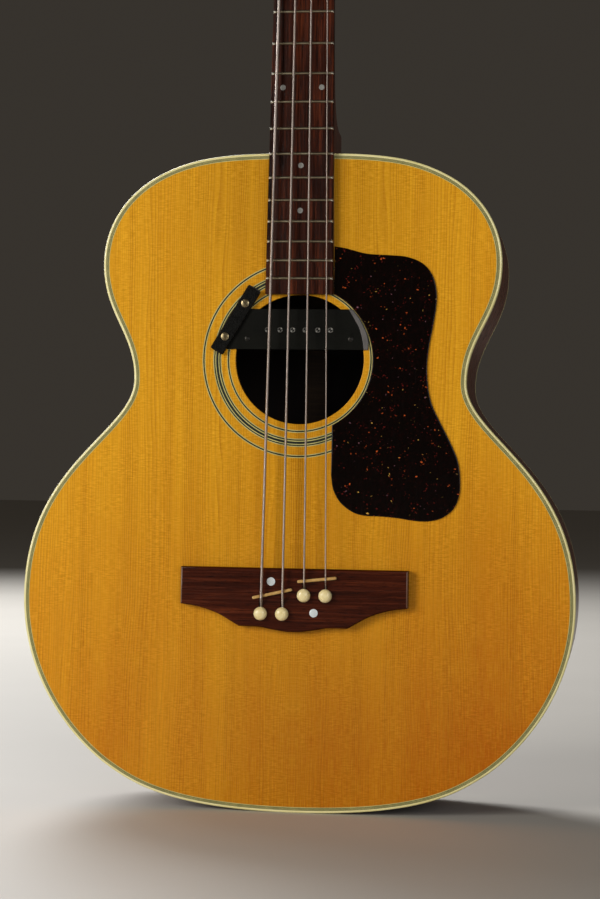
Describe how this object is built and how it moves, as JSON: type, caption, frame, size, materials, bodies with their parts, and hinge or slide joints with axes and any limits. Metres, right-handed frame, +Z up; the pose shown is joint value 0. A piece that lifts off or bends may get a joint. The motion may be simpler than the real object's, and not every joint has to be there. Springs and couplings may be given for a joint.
{
  "type": "acoustic bass guitar",
  "caption": "Acoustic bass guitar with a wide jumbo body, wound strings, slanted split saddles, tortoise pickguard and a soundhole pickup.",
  "frame": {"origin": "under the tail rim on the centre line, halfway through the depth of the body at its tail", "axes": "+Z up the neck, soundboard facing -Y, +X towards the treble side"},
  "size_m": [0.4558, 0.1395, 1.1755],
  "materials": {
    "soundboard": "aged clear gloss over amber spruce",
    "mahogany": "clear gloss",
    "block_wood": "bare",
    "brace_wood": "bare",
    "lining_wood": "bare",
    "plate_wood": "bare",
    "binding": "aged cream gloss",
    "purfling": "thin black and white lines",
    "rosette": "thin black and white rings",
    "tortoise": "dark mottled gloss",
    "rosewood": "oiled",
    "fingerboard": "oiled, with nickel frets",
    "bone": "polished bone",
    "pin": "cream gloss",
    "pearl": "mother of pearl",
    "truss_steel": "plain",
    "black_plastic": "satin black",
    "screw": "nickel plated",
    "veneer": "dark gloss",
    "wound_string": "round wound",
    "tuner_metal": "nickel plated",
    "key_metal": "nickel plated"
  },
  "bodies": {
    "root": {"soundboard": "soundboard", "back": "mahogany", "side_treble": "mahogany", "side_bass": "mahogany", "binding_top": "binding", "binding_back": "binding", "purfling_top": "purfling", "lining_top": "lining_wood", "lining_back": "lining_wood", "neck_block": "block_wood", "tail_block": "block_wood", "x_brace": "brace_wood", "transverse_brace": "brace_wood", "back_bracing": "brace_wood", "bridge_plate": "plate_wood", "rosette_inner": "rosette", "rosette_middle": "rosette", "rosette_outer": "rosette", "pickguard": "tortoise", "bridge": "rosewood", "saddle_bass": "bone", "saddle_treble": "bone", "bridge_dot_bass": "pearl", "bridge_dot_treble": "pearl", "neck": "mahogany", "fingerboard": "fingerboard", "nut": "bone", "truss_rod": "truss_steel", "heel_cap": "rosewood", "pickup_housing": "black_plastic", "pickup_clamp": "black_plastic", "clamp_screw_low": "screw", "clamp_screw_high": "screw", "headstock_veneer": "veneer", "truss_rod_cover": "black_plastic", "post_bushing_e": "tuner_metal", "tuner_plate_e": "tuner_metal", "post_bushing_a": "tuner_metal", "tuner_plate_a": "tuner_metal", "post_bushing_d": "tuner_metal", "tuner_plate_d": "tuner_metal", "post_bushing_g": "tuner_metal", "tuner_plate_g": "tuner_metal", "string_e": "wound_string", "bridge_pin_e": "pin", "string_a": "wound_string", "bridge_pin_a": "pin", "string_d": "wound_string", "bridge_pin_d": "pin", "string_g": "wound_string", "bridge_pin_g": "pin"},
    "key_e": {"tuner_key_e": "key_metal"},
    "post_e": {"string_post_e": "tuner_metal"},
    "key_a": {"tuner_key_a": "key_metal"},
    "post_a": {"string_post_a": "tuner_metal"},
    "key_d": {"tuner_key_d": "key_metal"},
    "post_d": {"string_post_d": "tuner_metal"},
    "key_g": {"tuner_key_g": "key_metal"},
    "post_g": {"string_post_g": "tuner_metal"}
  },
  "joints": [
    {"name": "key_turn_e", "type": "hinge", "parent": "root", "child": "key_e", "pos_m": [-0.027, -0.03139, 1.01704], "axis": [1, 0, 0], "continuous": true},
    {"name": "post_turn_e", "type": "hinge", "parent": "root", "child": "post_e", "pos_m": [-0.027, -0.04994, 1.03223], "axis": [0, -0.9781, 0.2079], "continuous": true, "deforming": ["string_e"]},
    {"name": "key_turn_a", "type": "hinge", "parent": "root", "child": "key_a", "pos_m": [-0.027, -0.01559, 1.09138], "axis": [1, 0, 0], "continuous": true},
    {"name": "post_turn_a", "type": "hinge", "parent": "root", "child": "post_a", "pos_m": [-0.027, -0.03414, 1.10657], "axis": [0, -0.9781, 0.2079], "continuous": true, "deforming": ["string_a"]},
    {"name": "key_turn_d", "type": "hinge", "parent": "root", "child": "key_d", "pos_m": [0.027, -0.01559, 1.09138], "axis": [1, 0, 0], "continuous": true},
    {"name": "post_turn_d", "type": "hinge", "parent": "root", "child": "post_d", "pos_m": [0.027, -0.03414, 1.10657], "axis": [0, -0.9781, 0.2079], "continuous": true, "deforming": ["string_d"]},
    {"name": "key_turn_g", "type": "hinge", "parent": "root", "child": "key_g", "pos_m": [0.027, -0.03139, 1.01704], "axis": [1, 0, 0], "continuous": true},
    {"name": "post_turn_g", "type": "hinge", "parent": "root", "child": "post_g", "pos_m": [0.027, -0.04994, 1.03223], "axis": [0, -0.9781, 0.2079], "continuous": true, "deforming": ["string_g"]}
  ],
  "couplings": [
    {"joint": "post_turn_e", "follows": "key_turn_e", "ratio": -0.0625},
    {"joint": "post_turn_a", "follows": "key_turn_a", "ratio": -0.0625},
    {"joint": "post_turn_d", "follows": "key_turn_d", "ratio": -0.0625},
    {"joint": "post_turn_g", "follows": "key_turn_g", "ratio": -0.0625}
  ]
}
